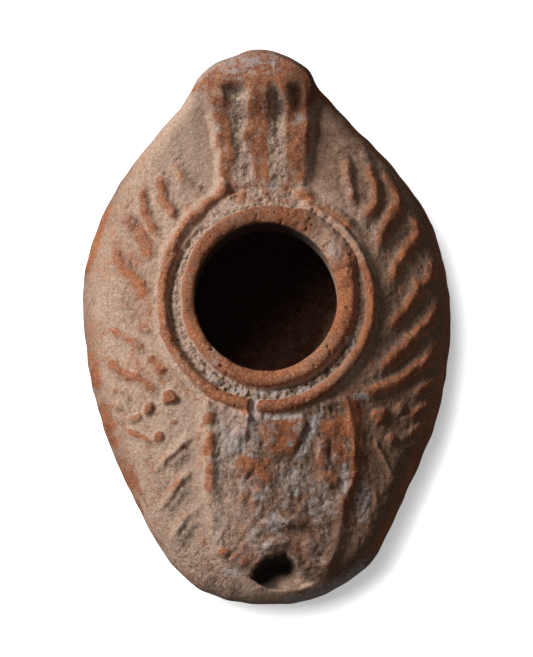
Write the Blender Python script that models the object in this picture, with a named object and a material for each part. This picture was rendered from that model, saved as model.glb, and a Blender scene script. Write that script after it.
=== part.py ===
"""A mould-made terracotta oil lamp: a pear-shaped hollow body with a double ring round its filling hole,
radiating ridges on its shoulders, a ridged panel that runs down to the wick hole, a ribbed lug handle and
a low foot ring. It is fired clay in one piece, so it is one solid.

Metres, +Z up. The nozzle points to -Y and the handle to +Y. The origin is under the middle of the lamp,
on the plane that it stands on.
"""

import bisect
import math

import bmesh
import bpy
from mathutils import Vector

# Outline, seen from above
LENGTH = 0.0943
WIDTH = 0.0646
HANDLE_LEAN = 0.0021
NOZZLE_LEAN = 0.0005
# Right half of the outline from nozzle tip to handle tip: share of the length, share of the half width
HALF_OUTLINE = (
    (0.000, 0.000), (0.022, 0.305), (0.082, 0.540), (0.202, 0.718), (0.358, 0.900), (0.550, 1.000),
    (0.700, 0.924), (0.803, 0.738), (0.882, 0.480), (0.932, 0.340), (0.966, 0.282), (0.990, 0.145), (1.000, 0.000),
)
NOZZLE_END = 0.25  # share of the length up to which the nozzle's heights fade into the body's
HANDLE_START = 0.66  # share of the length from which the body rises into the handle

# Heights, each at the nozzle, along the sides and at the handle
SEAM_HEIGHTS = (0.0165, 0.0150, 0.0346)
EDGE_DROPS = (0.0035, 0.0070, 0.0028)
EDGE_WIDTHS = (0.0042, 0.0062, 0.0034)
SHOULDER_SAGS = (1.0, 1.0, 1.7)  # how much the slope from the rings to the edge sags, where 1 is straight

# Filling hole and the two raised rings round it, each width measured outwards from the hole
MOUTH_CENTRE = 0.537  # share of the length, from the nozzle tip
MOUTH_RADIUS = 0.0124
RIM_WIDTH = 0.0031
GROOVE_WIDTH = 0.0016
RING_WIDTH = 0.0023
RING_STRETCH = 1.06  # the rings are a little longer than wide
SHOULDER_HEIGHT = 0.0288
RIM_RISE = 0.0022
GROOVE_RISE = 0.0005
RING_RISE = 0.0018
MOUTH_SLANT = 0.0008  # how far the hole's lower edge lies towards the nozzle

# Hollow inside
WALL = 0.0040
SEAM_WALL = 0.0040
FLOOR = 0.0048
FLOOR_FLAT = 0.15  # share of the hollow's reach over which its floor is level
CAVITY_BACK = 0.0245  # from the middle of the filling hole towards the handle

# Foot ring
FOOT_CENTRE = 0.520  # share of the length, from the nozzle tip
FOOT_HALF_WIDTH = 0.0165
FOOT_HALF_LENGTH = 0.0225
FOOT_WIDTH = 0.0026
FOOT_HEIGHT = 0.0012
FOOT_RECESS = 0.0009

# Lug handle: a stem that climbs from the outer ring to a wide brow
STEM_HALF_WIDTH = 0.0088
STEM_TAPER = 0.16  # by how much of its width the stem narrows down to the outer ring
STEM_RISE = 0.0030
BROW_HEIGHT = 0.0394
BROW_DEPTH = 0.0062  # from the handle's back edge to its brow
BROW_HALF_WIDTH = 0.0106
BROW_REACH = 0.0044
BROW_DROP = 0.0036  # how far the brow's ends lie below its middle
FLUTE_DEPTH = 0.0030
# Each flute: its middle across the stem, its half width, and where it ends as a share of the way to the brow
FLUTES = ((-0.0027, 0.0017, 0.02), (0.0025, 0.0018, 0.02), (0.0066, 0.0013, 0.58))

# Nozzle panel and wick hole
NOZZLE_OFFSET = 0.0026
PANEL_HALF_WIDTH = 0.0126
PANEL_TAPER = 0.0028
PANEL_RISE = 0.0008
PANEL_SIDE = 0.0016
WICK_HOLE_HALF_WIDTH = 0.0050
WICK_HOLE_HALF_LENGTH = 0.0035
WICK_HOLE_FLARE = 0.65  # by how much of its size the hole widens from the channel up to the handle's height
WICK_HOLE_EDGE = 0.0022  # clay left in front of the wick hole
WICK_HOLE_DEPTH = 0.0005  # how far below the seam it goes

# Raised ornament: half width and rise of its strokes
RIDGE_HALF_WIDTH = 0.0010
RIDGE_RISE = 0.0011
PANEL_RIDGE_HALF_WIDTH = 0.0013
PANEL_RIDGE_RISE = 0.0010
TONGUE_HALF_WIDTH = 0.0044
TONGUE_LENGTH = 0.0062
TONGUE_RISE = 0.0008
PELLET_RADIUS = 0.0011
# Shoulder ridges: bearing of the inner and of the outer end in degrees from the widest point towards the
# handle, and how far out on the shoulder each end lies, as a share of its width
RIGHT_RIDGES = (
    (49, 60, 0.20, 0.56), (39, 54, 0.10, 0.70), (24, 47, 0.10, 0.74), (6, 30, 0.10, 0.76), (-16, 18, 0.16, 0.82),
    (-34, 1, 0.20, 0.84), (-46, -10, 0.22, 0.88), (-33, -22, 0.70, 0.95), (-41, -29, 0.74, 0.94),
    (-46, -34, 0.82, 0.96), (-54, -54, 0.58, 0.90), (-61, -61, 0.62, 0.86),
)
LEFT_RIDGES = (
    (58, 56, 0.22, 0.52), (42, 48, 0.09, 0.58), (31, 42, 0.19, 0.66), (16, 33, 0.11, 0.70), (-3, 21, 0.08, 0.70),
    (-17, 2, 0.10, 0.58), (-38, -9, 0.11, 0.64), (-41, -18, 0.31, 0.78), (-37, -28, 0.60, 0.80),
    (-52, -44, 0.62, 0.80), (-64, -61, 0.33, 0.56), (-69, -65, 0.51, 0.82), (-74, -71, 0.66, 0.87),
)
# Pellets: bearing and share of the shoulder's width
RIGHT_PELLETS = ((-46, 0.48), (-39, 0.62), (-48, 0.70))
LEFT_PELLETS = ((-47, 0.26), (-43, 0.46), (-43, 0.66), (-54, 0.52), (-80, 0.16))

# How finely the solid is faceted
COLUMNS = 80
OUTLINE_STEPS = 24
SHOULDER_ROWS = 9
UNDERSIDE_ROWS = 7
FLOOR_ROWS = 4
ROOF_ROWS = 4
STROKE_STATIONS = 6
STROKE_SIDES = 6
STEM_SIDES = 14
SHARP_ANGLE = 35

CLAY_COLOUR = (0.42, 0.22, 0.13, 1.0)

MOUTH_Y = (MOUTH_CENTRE - 0.5) * LENGTH
FOOT_Y = (FOOT_CENTRE - 0.5) * LENGTH
RING_OUTER = MOUTH_RADIUS + RIM_WIDTH + GROOVE_WIDTH + RING_WIDTH
BROW_Y = LENGTH / 2 - BROW_DEPTH
STEM_FOOT_Y = MOUTH_Y + RING_OUTER * RING_STRETCH
PANEL_TOP_Y = MOUTH_Y - RING_OUTER * RING_STRETCH
WICK_HOLE_Y = -LENGTH / 2 + WICK_HOLE_EDGE + WICK_HOLE_HALF_LENGTH


def smooth(t):
    """Eases from 0 to 1 as t goes from 0 to 1."""
    t = min(max(t, 0.0), 1.0)
    return t * t * (3.0 - 2.0 * t)


def mix(a, b, t):
    return a + (b - a) * t


def along_body(share, values):
    """A value at this share of the length, eased between its nozzle, side and handle values."""
    nozzle, side, handle = values
    to_nozzle = smooth((NOZZLE_END - share) / NOZZLE_END)
    to_handle = smooth((share - HANDLE_START) / (1.0 - HANDLE_START))
    return side + (nozzle - side) * to_nozzle + (handle - side) * to_handle


def lean(share):
    """How far the lamp's middle line strays sideways: the handle leans left and the nozzle slightly right."""
    to_handle = smooth((share - HANDLE_START) / (1.0 - HANDLE_START))
    to_nozzle = smooth((NOZZLE_END - share) / NOZZLE_END)
    return NOZZLE_LEAN * to_nozzle - HANDLE_LEAN * to_handle


def closed_curve(points, steps):
    """A smooth closed curve through the points, as a Catmull-Rom spline."""
    curve = []
    for i in range(len(points)):
        before, start, end, after = (Vector(points[(i + k) % len(points)]) for k in (-1, 0, 1, 2))
        for k in range(steps):
            t = k / steps
            curve.append(
                0.5 * (2 * start + (end - before) * t + (2 * before - 5 * start + 4 * end - after) * t**2
                       + (3 * start - before - 3 * end + after) * t**3)
            )
    return curve


def outline_points():
    """The outline from above as (x, y, share of the length) all the way round, anticlockwise from the nozzle."""
    left = [(share, -half) for share, half in reversed(HALF_OUTLINE[1:-1])]
    curve = closed_curve(list(HALF_OUTLINE) + left, OUTLINE_STEPS)
    return [(half * WIDTH / 2 + lean(share), (share - 0.5) * LENGTH, share) for share, half in curve]


def bearing_of(x, y):
    """Bearing in degrees of a point seen from the filling hole, from -90 at the nozzle up to 270."""
    angle = math.degrees(math.atan2(y - MOUTH_Y, x))
    return angle if angle >= -90 else angle + 360


def outline_table():
    """The outline sorted by bearing, as (bearing, distance from the filling hole, share of the length)."""
    table = sorted((bearing_of(x, y), math.hypot(x, y - MOUTH_Y), share) for x, y, share in outline_points())
    first, last = table[0], table[-1]
    return [(last[0] - 360, last[1], last[2])] + table + [(first[0] + 360, first[1], first[2])]


OUTLINE = outline_table()


def outline_at(bearing):
    """Distance of the outline from the filling hole's middle, and its share of the length, at a bearing."""
    bearing = (bearing + 90) % 360 - 90
    i = bisect.bisect_left(OUTLINE, (bearing,))
    (b0, r0, s0), (b1, r1, s1) = OUTLINE[i - 1], OUTLINE[i]
    t = (bearing - b0) / (b1 - b0)
    return mix(r0, r1, t), mix(s0, s1, t)


def oval_radius(half_width, half_length, bearing):
    """Distance to an oval's edge from its middle at a bearing."""
    angle = math.radians(bearing)
    return 1.0 / math.hypot(math.cos(angle) / half_width, math.sin(angle) / half_length)


def ring_radius(radius, bearing):
    """Distance from the filling hole's middle to a ring of this half width, which is a little oval."""
    return oval_radius(radius, radius * RING_STRETCH, bearing)


def with_panel(x, y, z):
    """Raises a point of the shoulder onto the panel that runs down to the wick hole."""
    down = (PANEL_TOP_Y - y) / (PANEL_TOP_Y - WICK_HOLE_Y)
    half = PANEL_HALF_WIDTH - PANEL_TAPER * smooth(down)
    across = abs(x - NOZZLE_OFFSET) - half
    on_panel = (1 - smooth(across / PANEL_SIDE)) * smooth(down / 0.1) * (1 - smooth((down - 0.75) / 0.35))
    return z + PANEL_RISE * on_panel


def top_point(bearing, out):
    """A point of the upper skin: out is 0 at the outer ring's foot and 1 at the seam."""
    outer, share = outline_at(bearing)
    inner = ring_radius(RING_OUTER, bearing)
    radius = mix(inner, outer, out)
    x = radius * math.cos(math.radians(bearing))
    y = MOUTH_Y + radius * math.sin(math.radians(bearing))
    seam = along_body(share, SEAM_HEIGHTS)
    drop = along_body(share, EDGE_DROPS)
    into_edge = 1 - min((outer - radius) / along_body(share, EDGE_WIDTHS), 1.0)
    z = with_panel(x, y, mix(SHOULDER_HEIGHT, seam + drop, out ** along_body(share, SHOULDER_SAGS)))
    return Vector((x, y, z - drop * (1 - math.sqrt(max(1 - into_edge**2, 0.0)))))


def ring_rows():
    """The filling hole's edge and its two rings, from the hole outwards: radius and height above the shoulder."""
    groove = MOUTH_RADIUS + RIM_WIDTH
    ring = groove + GROOVE_WIDTH
    return (
        (MOUTH_RADIUS, RIM_RISE * 0.55),
        (MOUTH_RADIUS + RIM_WIDTH * 0.28, RIM_RISE),
        (MOUTH_RADIUS + RIM_WIDTH * 0.66, RIM_RISE * 0.93),
        (groove, GROOVE_RISE),
        (ring, GROOVE_RISE),
        (ring + RING_WIDTH * 0.34, RING_RISE),
        (ring + RING_WIDTH * 0.66, RING_RISE * 0.9),
    )


def cavity_radius(bearing):
    """Distance from the filling hole's middle to the hollow's widest line: it stops short of the handle."""
    outer, _ = outline_at(bearing)
    radius = outer - SEAM_WALL
    if 0 < bearing < 180:
        radius = min(radius, oval_radius(WIDTH / 2 - SEAM_WALL, CAVITY_BACK, bearing))
    return radius


def inner_point(bearing, radius, z):
    angle = math.radians(bearing)
    return Vector((radius * math.cos(angle), MOUTH_Y + radius * math.sin(angle), z))


def inner_column(bearing):
    """The hollow's skin at a bearing, from the middle of its floor out to the seam and in under the roof."""
    widest = cavity_radius(bearing)
    _, share = outline_at(bearing)
    nozzle_seam, side_seam, _ = SEAM_HEIGHTS
    middle = along_body(share, (nozzle_seam, side_seam, side_seam))
    column = [inner_point(bearing, widest * FLOOR_FLAT, FLOOR)]
    for i in range(1, FLOOR_ROWS + 1):
        angle = math.radians(90 * i / FLOOR_ROWS)
        column.append(inner_point(bearing, widest * math.sin(angle), mix(middle, FLOOR, math.cos(angle))))
    mouth = ring_radius(MOUTH_RADIUS, bearing)
    ring = ring_radius(RING_OUTER, bearing)
    outer, _ = outline_at(bearing)
    for i in range(1, ROOF_ROWS + 1):
        angle = math.radians(90 * i / ROOF_ROWS)
        radius = mix(mouth, widest, math.cos(angle))
        skin = top_point(bearing, max((radius - ring) / (outer - ring), 0.0)).z
        column.append(inner_point(bearing, radius, mix(middle, skin - WALL, math.sin(angle))))
    column[-1].y -= MOUTH_SLANT
    return column


def underside_column(bearing):
    """The lower skin from below the seam down to the foot ring, and on to the recess inside it."""
    outer, share = outline_at(bearing)
    edge = inner_point(bearing, outer, along_body(share, SEAM_HEIGHTS))
    reach = oval_radius(FOOT_HALF_WIDTH, FOOT_HALF_LENGTH, bearing)
    angle = math.radians(bearing)
    foot = Vector((reach * math.cos(angle), FOOT_Y + reach * math.sin(angle), FOOT_HEIGHT))
    fullness = 2 / along_body(share, (1.5, 1.6, 1.25))
    column = []
    for i in range(1, UNDERSIDE_ROWS + 1):
        turn = math.radians(90 * i / UNDERSIDE_ROWS)
        inwards = 1 - max(math.cos(turn), 0.0) ** fullness
        down = math.sin(turn) ** fullness
        column.append(Vector((mix(edge.x, foot.x, inwards), mix(edge.y, foot.y, inwards), mix(edge.z, foot.z, down))))
    foot_middle = Vector((0, FOOT_Y, 0))
    spoke = Vector((foot.x, foot.y - FOOT_Y, 0)) / reach
    rows = ((0.15, 0.0), (0.85, 0.0), (1.0, FOOT_RECESS), (1.9, FOOT_RECESS))
    column += [foot_middle + spoke * (reach - FOOT_WIDTH * inwards) + Vector((0, 0, z)) for inwards, z in rows]
    return column


def lamp_column(bearing):
    """Every point of the lamp's skin at a bearing, from the hollow's floor round to the underside."""
    column = inner_column(bearing)
    for radius, rise in ring_rows():
        column.append(inner_point(bearing, ring_radius(radius, bearing), SHOULDER_HEIGHT + rise))
    for i in range(SHOULDER_ROWS + 1):
        column.append(top_point(bearing, math.sin(math.radians(90 * i / SHOULDER_ROWS))))
    return column + underside_column(bearing)


def column_bearings(count):
    """Bearings that divide the outline into equal lengths, so that the handle and nozzle get their share."""
    points = outline_points()
    lengths = [0.0]
    for (x0, y0, _), (x1, y1, _) in zip(points, points[1:] + points[:1]):
        lengths.append(lengths[-1] + math.hypot(x1 - x0, y1 - y0))
    bearings = []
    for i in range(count):
        k = bisect.bisect_right(lengths, lengths[-1] * i / count) - 1
        (x0, y0, _), (x1, y1, _) = points[k], points[(k + 1) % len(points)]
        t = (lengths[-1] * i / count - lengths[k]) / (lengths[k + 1] - lengths[k])
        bearings.append(bearing_of(mix(x0, x1, t), mix(y0, y1, t)))
    return bearings


def object_of(name, bm):
    """A new object in the scene from a bmesh, with its faces pointing outwards."""
    bmesh.ops.recalc_face_normals(bm, faces=bm.faces)
    mesh = bpy.data.meshes.new(name)
    bm.to_mesh(mesh)
    bm.free()
    made = bpy.data.objects.new(name, mesh)
    bpy.context.scene.collection.objects.link(made)
    return made


def loft(bm, columns):
    """A closed skin through columns of points: one loop of edges, drawn out row by row and closed at both ends."""
    index = bm.verts.layers.int.get("column") or bm.verts.layers.int.new("column")
    ring = bmesh.ops.create_circle(bm, segments=len(columns), radius=1.0)["verts"]
    for i, vert in enumerate(ring):
        vert[index] = i
        vert.co = columns[i][0]
    loop = list({edge for vert in ring for edge in vert.link_edges})
    bmesh.ops.contextual_create(bm, geom=loop)
    for row in range(1, len(columns[0])):
        drawn = bmesh.ops.extrude_edge_only(bm, edges=loop)["geom"]
        for vert in (g for g in drawn if isinstance(g, bmesh.types.BMVert)):
            vert.co = columns[vert[index]][row]
        loop = [g for g in drawn if isinstance(g, bmesh.types.BMEdge)]
    bmesh.ops.contextual_create(bm, geom=loop)


def add_stroke(bm, path, half_width, rise, swell=None, sides=STROKE_SIDES):
    """A raised stroke along a path on the skin, oval in section and sunk by half. It tapers to both ends unless
    swell gives its size at each station."""
    swell = swell or [0.35 + 0.65 * math.sin(math.pi * i / (len(path) - 1)) ** 0.6 for i in range(len(path))]
    columns = [[] for _ in range(sides)]
    for i, point in enumerate(path):
        ahead = (path[min(i + 1, len(path) - 1)] - path[max(i - 1, 0)]).normalized()
        side = ahead.cross(Vector((0, 0, 1))).normalized()
        up = side.cross(ahead)
        for k, column in enumerate(columns):
            angle = math.radians(360 * k / sides)
            column.append(point + (side * math.cos(angle) * half_width + up * math.sin(angle) * rise) * swell[i])
    loft(bm, columns)


def shoulder_path(ridge, mirrored):
    """Stations of a shoulder ridge, as points of the upper skin."""
    bearing_in, bearing_out, out_in, out_out = ridge
    path = []
    for i in range(STROKE_STATIONS):
        t = i / (STROKE_STATIONS - 1)
        bearing = mix(bearing_in, bearing_out, t)
        path.append(top_point(180 - bearing if mirrored else bearing, mix(out_in, out_out, t)))
    return path


def on_panel(x, y):
    """The point of the upper skin above a point of the nozzle panel."""
    bearing = bearing_of(x, y)
    outer, _ = outline_at(bearing)
    ring = ring_radius(RING_OUTER, bearing)
    return top_point(bearing, max((math.hypot(x, y - MOUTH_Y) - ring) / (outer - ring), 0.0))


def panel_path(side):
    """Stations of the ridge along one edge of the nozzle panel, from the outer ring to beside the wick hole."""
    path = []
    for i in range(STROKE_STATIONS + 1):
        down = 0.99 * i / STROKE_STATIONS
        y = mix(PANEL_TOP_Y + RING_WIDTH, WICK_HOLE_Y, down)
        path.append(on_panel(NOZZLE_OFFSET + side * (PANEL_HALF_WIDTH - PANEL_TAPER * smooth(down)), y))
    return path


def ornament():
    """The raised strokes and pellets, as bodies half sunk in the shoulder."""
    bm = bmesh.new()
    for ridges, pellets, mirrored in ((RIGHT_RIDGES, RIGHT_PELLETS, False), (LEFT_RIDGES, LEFT_PELLETS, True)):
        for ridge in ridges:
            add_stroke(bm, shoulder_path(ridge, mirrored), RIDGE_HALF_WIDTH, RIDGE_RISE)
        for bearing, out in pellets:
            pellet = bmesh.ops.create_icosphere(bm, subdivisions=1, radius=PELLET_RADIUS)["verts"]
            bmesh.ops.translate(bm, vec=top_point(180 - bearing if mirrored else bearing, out), verts=pellet)
    for side in (-1, 1):
        add_stroke(bm, panel_path(side), PANEL_RIDGE_HALF_WIDTH, PANEL_RIDGE_RISE)
    tongue = [on_panel(NOZZLE_OFFSET, PANEL_TOP_Y - TONGUE_LENGTH * t) for t in (0.1, 0.3, 0.6, 1.0)]
    add_stroke(bm, tongue, TONGUE_HALF_WIDTH, TONGUE_RISE, swell=(1.0, 0.95, 0.65, 0.3))
    return object_of("raised_ornament", bm)


def stem_top(climb):
    """A point of the stem's crest: climb is 0 at the outer ring and 1 at the brow."""
    y = mix(STEM_FOOT_Y, BROW_Y, climb)
    return Vector((lean(0.5 + y / LENGTH), y, mix(SHOULDER_HEIGHT + RING_RISE * 0.5, BROW_HEIGHT, climb)))


def handle():
    """The stem of the handle, and the brow that crosses its upper end."""
    bm = bmesh.new()
    climbs = (0.0, 0.25, 0.5, 0.75, 1.0)
    stem = [stem_top(climb) - Vector((0, 0, STEM_RISE)) for climb in climbs]
    swell = [1.0 - STEM_TAPER * (1.0 - climb) for climb in climbs]
    add_stroke(bm, stem, STEM_HALF_WIDTH, STEM_RISE, swell=swell, sides=STEM_SIDES)
    brow = []
    for across in (-1.0, -0.8, -0.4, 0.0, 0.4, 0.8, 1.0):
        fall = across**2 * BROW_DROP
        brow.append(stem_top(1.0) + Vector((across * BROW_HALF_WIDTH, -fall, -STEM_RISE - fall)))
    add_stroke(bm, brow, BROW_REACH, STEM_RISE, swell=(0.3, 0.7, 0.95, 1.0, 0.95, 0.7, 0.3), sides=STEM_SIDES)
    return object_of("handle_stem", bm)


def flutes():
    """The hollows between the handle's ribs: long scoops that run up the stem and end steeply under the brow."""
    bm = bmesh.new()
    for across, half_width, start in FLUTES:
        foot = stem_top(start)
        brow = stem_top(0.93)
        run = brow - foot
        scoop = bmesh.ops.create_uvsphere(bm, u_segments=10, v_segments=8, radius=1.0)["verts"]
        bmesh.ops.scale(bm, vec=(half_width, run.length / 2, FLUTE_DEPTH), verts=scoop)
        slope = Vector((0, 1, 0)).rotation_difference(run).to_matrix()
        bmesh.ops.rotate(bm, matrix=slope, verts=scoop)
        bmesh.ops.translate(bm, vec=(foot + brow) / 2 + Vector((across, 0, 0)), verts=scoop)
    return object_of("flute_cutter", bm)


def wick_hole():
    """The wick hole: an oval that widens upwards, from the channel inside the nozzle out through its top."""
    bottom = SEAM_HEIGHTS[0] - WICK_HOLE_DEPTH
    depth = BROW_HEIGHT - bottom
    bm = bmesh.new()
    narrow = 1 - WICK_HOLE_FLARE / 5
    cone = bmesh.ops.create_cone(
        bm, cap_ends=True, segments=20, radius1=narrow, radius2=narrow + WICK_HOLE_FLARE, depth=depth
    )["verts"]
    bmesh.ops.scale(bm, vec=(WICK_HOLE_HALF_WIDTH, WICK_HOLE_HALF_LENGTH, 1), verts=cone)
    bmesh.ops.translate(bm, vec=(NOZZLE_OFFSET, WICK_HOLE_Y, bottom + depth / 2), verts=cone)
    return object_of("wick_hole_cutter", bm)


def join(body, tool, operation):
    """A Boolean modifier on the lamp. The tool is a helper and isn't rendered."""
    modifier = body.modifiers.new(tool.name, "BOOLEAN")
    modifier.operation = operation
    modifier.object = tool
    modifier.use_self = operation == "UNION"
    tool.hide_render = True
    tool.display_type = "WIRE"


def clay():
    material = bpy.data.materials.new("fired_clay")
    material.use_nodes = True
    shader = material.node_tree.nodes["Principled BSDF"]
    shader.inputs["Base Color"].default_value = CLAY_COLOUR
    shader.inputs["Roughness"].default_value = 0.9
    shader.inputs["Metallic"].default_value = 0.0
    return material


def main():
    for old in list(bpy.data.objects):
        bpy.data.objects.remove(old)
    body = bmesh.new()
    loft(body, [lamp_column(bearing) for bearing in column_bearings(COLUMNS)])
    lamp = object_of("lamp_body", body)
    lamp.data.materials.append(clay())
    join(lamp, handle(), "UNION")
    join(lamp, ornament(), "UNION")
    join(lamp, flutes(), "DIFFERENCE")
    join(lamp, wick_hole(), "DIFFERENCE")
    lamp.data.shade_smooth()
    lamp.data.set_sharp_from_angle(angle=math.radians(SHARP_ANGLE))


main()
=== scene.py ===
"""The looks of a mould-made terracotta oil lamp: worn fired clay under a sandy crust, with its finer relief.

The frame's units are metres, with +Z up, the nozzle to -Y and the handle to +Y.
The relief is given in millimetres.
"""

import math

import bmesh
import bpy
import numpy as np
from bpy.props import FloatProperty, FloatVectorProperty, IntProperty, PointerProperty, StringProperty
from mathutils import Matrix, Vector, noise


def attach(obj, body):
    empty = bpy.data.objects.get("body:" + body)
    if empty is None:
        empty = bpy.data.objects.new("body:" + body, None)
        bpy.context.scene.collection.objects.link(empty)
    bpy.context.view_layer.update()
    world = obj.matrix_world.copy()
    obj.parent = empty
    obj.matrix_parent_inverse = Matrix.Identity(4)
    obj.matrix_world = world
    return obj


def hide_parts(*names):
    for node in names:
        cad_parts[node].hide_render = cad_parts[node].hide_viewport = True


bl_info = {
    "name": "Terracotta Oil Lamp",
    "version": (1, 0, 0),
    "blender": (4, 5, 0),
    "location": "View3D > Sidebar > Oil Lamp",
    "description": "Models and dresses a worn terracotta oil lamp around its solid",
    "category": "Object",
}

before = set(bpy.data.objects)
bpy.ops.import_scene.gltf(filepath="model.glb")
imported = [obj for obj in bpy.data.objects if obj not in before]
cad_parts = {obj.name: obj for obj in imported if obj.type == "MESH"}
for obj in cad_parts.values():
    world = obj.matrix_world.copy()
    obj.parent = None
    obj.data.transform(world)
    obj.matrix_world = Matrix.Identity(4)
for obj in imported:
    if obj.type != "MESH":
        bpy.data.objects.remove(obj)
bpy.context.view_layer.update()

MM = 0.001

# Photograph: its height in pixels, a pixel's size at the lamp, how far the lamp sits below the centre,
# and the height of the camera's sensor in millimetres
FRAME_HEIGHT = 657
PIXEL = 0.1734 * MM
PIXELS_DOWN = 2.6
SENSOR_HEIGHT = 36.0

# Stage, in metres: the place that is looked at, half the floor's width, and the two lights
LAMP_MIDDLE = Vector((0.0, 0.0, 22.0 * MM))
FLOOR_HALF = 1.5
KEY_PLACE = (-0.47, 0.19, 0.42)
FLOOR_LIGHT_PLACE = (-0.20, -0.05, 0.88)
FLOOR_LIGHT_SIZE = 0.33

# Outline seen from above: from the nozzle's tip up the right side to the handle's tip, and down the left side
OUTLINE = (
    (0.5, -47.1), (10.4, -45.1), (18.1, -39.4), (23.8, -28.1), (29.8, -13.4), (32.3, 3.4), (29.9, 18.9),
    (22.8, 28.6), (14.0, 36.0), (9.1, 40.7), (7.1, 43.9), (2.6, 46.2), (-2.1, 47.1), (-7.0, 45.5),
    (-11.3, 43.0), (-13.2, 40.1), (-16.7, 36.0), (-24.3, 28.6), (-30.3, 18.9), (-32.3, 5.2),
    (-29.1, -13.4), (-23.1, -28.1), (-16.7, -39.4), (-9.9, -45.2),
)
OUTLINE_STEPS = 60
OUTLINE_UNEVEN = 0.25
OUTLINE_GRAIN = 3.0
NOZZLE_TIP = -47.1
LENGTH = 94.2
# Shares of the length: where the nozzle's heights have run out, and where the handle's begin
NOZZLE_END = 0.25
HANDLE_START = 0.66

# Heights and widths, each at the nozzle, along the sides and at the handle
SEAM_HEIGHTS = (16.5, 15.0, 34.6)
EDGE_DROPS = (3.5, 7.0, 2.8)
EDGE_WIDTHS = (4.2, 4.6, 3.4)
SHOULDER_SAGS = (1.0, 1.0, 1.7)
UNDERSIDE_BULGES = (1.5, 1.6, 1.25)
SHOULDER_HEIGHT = 28.8

# Ovals round the filling hole: middle across and along, half width, half length
MOUTH = (-0.1, 4.0, 12.3, 13.2)
RIM = (0.4, 4.2, 15.2, 16.3)
GROOVE = (0.0, 3.5, 17.0, 17.5)
RING = (0.0, 3.3, 18.9, 19.8)
# The skin is laid out on spokes from here
HUB_Y = MOUTH[1]

# Stretches round the filling hole, in degrees from the right side and over the handle: from, to and fade
ROUGH_RINGS = (15.0, 75.0, 12.0)
WIDE_RIM = (20.0, 70.0, 16.0)
DUSTY_RINGS = (20.0, 75.0, 20.0)
SHADED_RIM = (50.0, 205.0, 30.0)
NO_RING = (70.0, 152.0, 9.0)
FILLED_GROOVE = (80.0, 125.0, 16.0)
UNDERCUT_RING = (130.0, 235.0, 14.0)
PITTED_GROOVE = (225.0, 330.0, 16.0)
UNDERCUT_RIM = (225.0, 330.0, 20.0)
WHITE_GROOVE = (232.0, 300.0, 14.0)

# Walls, hollow and foot ring, whose section is given by how far inwards, as a share of its width, and height
WALL = 4.0
FLOOR = 4.8
FLOOR_FLAT = 0.15
HOLLOW_BACK = (0.0, 4.0, 28.3, 24.5)
HOLLOW_FRONT = -37.0
FOOT = (0.0, 1.9, 16.5, 22.5)
FOOT_WIDTH = 2.6
FOOT_HEIGHT = 1.2
FOOT_STEPS = ((0.08, 0.6), (0.2, 0.0), (0.8, 0.0), (0.95, 0.45), (1.1, 0.9), (2.4, 0.9), (4.6, 0.9))

# Stem of the handle: its edges as across by along, and along by height where it starts and under the head
STEM_LEFT = (
    (-7.7, 23.0), (-8.4, 26.1), (-8.8, 28.4), (-9.2, 31.4), (-9.7, 34.5), (-10.6, 37.4), (-11.6, 40.0),
)
STEM_RIGHT = ((6.9, 23.0), (7.6, 26.0), (7.8, 28.6), (7.9, 31.9), (8.1, 35.0), (8.4, 37.7), (8.8, 40.0))
STEM_FOOT = (24.0, 29.7)
STEM_HEAD = (40.6, 37.6)
# Hollows in the stem and head: left edge, right edge and depth, each as a value by its place along the lamp
HOLLOWS = (
    (
        ((-6.1, 24.6), (-6.3, 27.0), (-5.6, 28.3), (-5.9, 30.0), (-6.0, 31.0), (-6.6, 34.8), (-7.2, 37.0),
         (-7.8, 39.7)),
        ((-1.6, 24.6), (-2.2, 27.0), (-2.7, 28.3), (-3.4, 30.0), (-4.1, 31.6), (-3.3, 34.0), (-2.8, 36.9),
         (-3.3, 39.7)),
        ((0.2, 24.6), (0.4, 27.0), (0.5, 31.0), (0.6, 35.0), (1.2, 37.2), (2.9, 39.0), (1.6, 40.6)),
    ),
    (
        ((0.2, 24.4), (0.3, 27.3), (-0.1, 30.5), (0.3, 33.3), (0.6, 36.3), (0.3, 39.7)),
        ((3.8, 24.4), (3.7, 27.3), (3.4, 30.5), (3.6, 33.3), (3.3, 36.3), (2.4, 39.7)),
        ((0.1, 24.4), (0.2, 28.0), (0.4, 32.0), (0.7, 35.0), (1.3, 37.6), (0.9, 40.4)),
    ),
    (
        ((4.3, 35.9), (4.0, 38.0), (3.4, 40.6)),
        ((6.1, 35.9), (6.5, 38.2), (6.0, 40.6)),
        ((0.3, 35.9), (0.8, 38.0), (0.5, 40.6)),
    ),
)
# Head of the handle, a rounded knob: its middle, its reach across, forwards, backwards and up, how square its
# outline is across and along, how slowly it rises at its front and back, and its brow: place along and width
HEAD_MIDDLE = (-1.9, 40.3, 32.9)
HEAD_REACH = (12.0, 6.0, 7.2, 6.4)
HEAD_SQUARE = (2.6, 2.2)
HEAD_SLOWNESS = (0.9, 0.5)
BROW = (39.6, 1.5)

# How full a stroke is at its very ends, and over what share of its length it gets there
RIDGE_TAPER = (0.3, 0.18)
CUT_TAPER = (0.25, 0.25)
RING_TAPER = (0.4, 0.12)

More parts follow.
